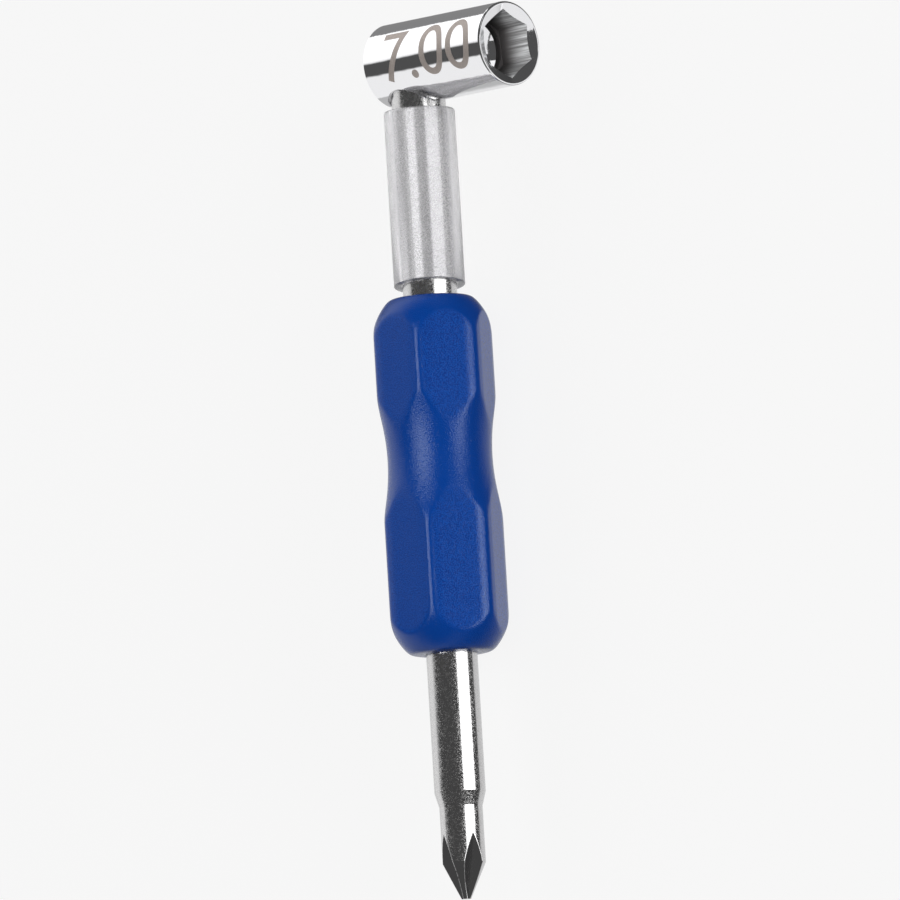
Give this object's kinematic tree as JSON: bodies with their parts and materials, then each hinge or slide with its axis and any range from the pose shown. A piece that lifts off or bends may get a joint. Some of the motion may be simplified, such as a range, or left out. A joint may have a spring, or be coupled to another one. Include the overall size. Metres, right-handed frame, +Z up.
{
  "type": "truss rod wrench",
  "caption": "Offset truss rod wrench: a short hex socket set square across a shaft with a clear turning sleeve, a waisted hexagonal handle and a cross-head screwdriver blade.",
  "frame": {"origin": "centre of the object's box, on the surface that the handle's lower flat lies on", "axes": "+X out of the socket's mouth, +Y along the shaft from the screwdriver tip to the socket head, +Z up"},
  "size_m": [0.023, 0.1034, 0.0128],
  "materials": {
    "head_chrome": "mirror-bright chrome plate",
    "shaft_nickel": "nickel plate with a fine speckle",
    "sleeve_clear": "clear flexible tube",
    "handle_blue": "fine moulded texture, satin",
    "blade_nickel": "nickel plate with a fine speckle"
  },
  "bodies": {
    "wrench": {"socket_head": "head_chrome", "socket_shaft": "shaft_nickel", "handle": "handle_blue", "screwdriver_blade": "blade_nickel"},
    "sleeve": {"clear_sleeve": "sleeve_clear"}
  },
  "joints": [
    {"name": "sleeve_turn", "type": "hinge", "parent": "wrench", "child": "sleeve", "pos_m": [-0.00422, 0.03058, 0.0064], "axis": [0, 1, 0], "continuous": true}
  ]
}
